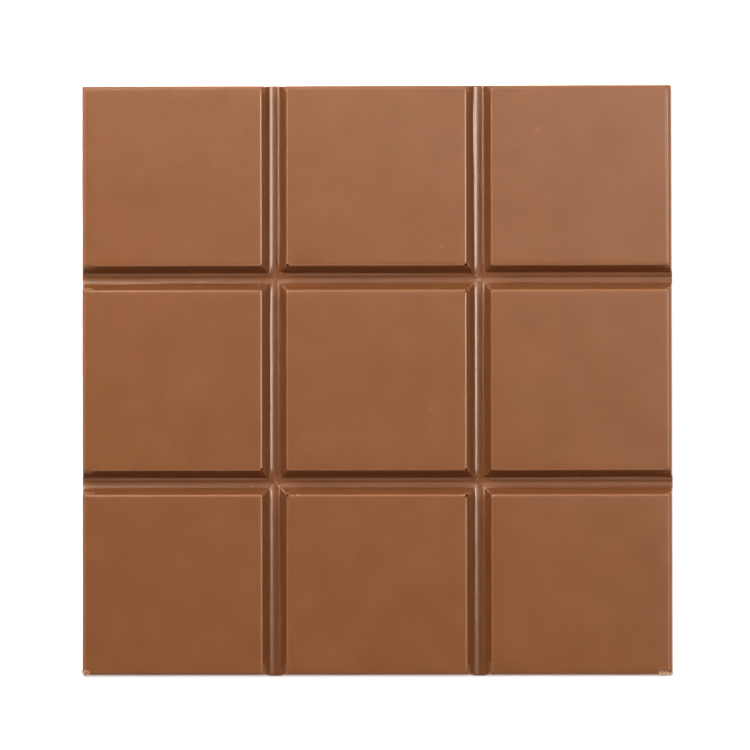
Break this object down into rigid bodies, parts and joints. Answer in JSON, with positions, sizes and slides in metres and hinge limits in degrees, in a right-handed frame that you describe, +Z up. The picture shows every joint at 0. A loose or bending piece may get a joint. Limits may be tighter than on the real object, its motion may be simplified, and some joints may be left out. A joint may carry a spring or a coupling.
{
  "type": "chocolate bar",
  "caption": "Square bar of moulded milk chocolate whose flat tiles are parted by straight grooves, where it snaps into pieces.",
  "frame": {"origin": "middle of the flat back, on the surface that the bar lies on", "axes": "+Z up out of the tile tops, through the thickness; +X and +Y along the two directions of the grooves"},
  "size_m": [0.09, 0.09, 0.008],
  "materials": {
    "milk_chocolate": "satin milk chocolate, as set against a smooth mould"
  },
  "bodies": {
    "root": {"chocolate_bar": "milk_chocolate"}
  },
  "joints": []
}
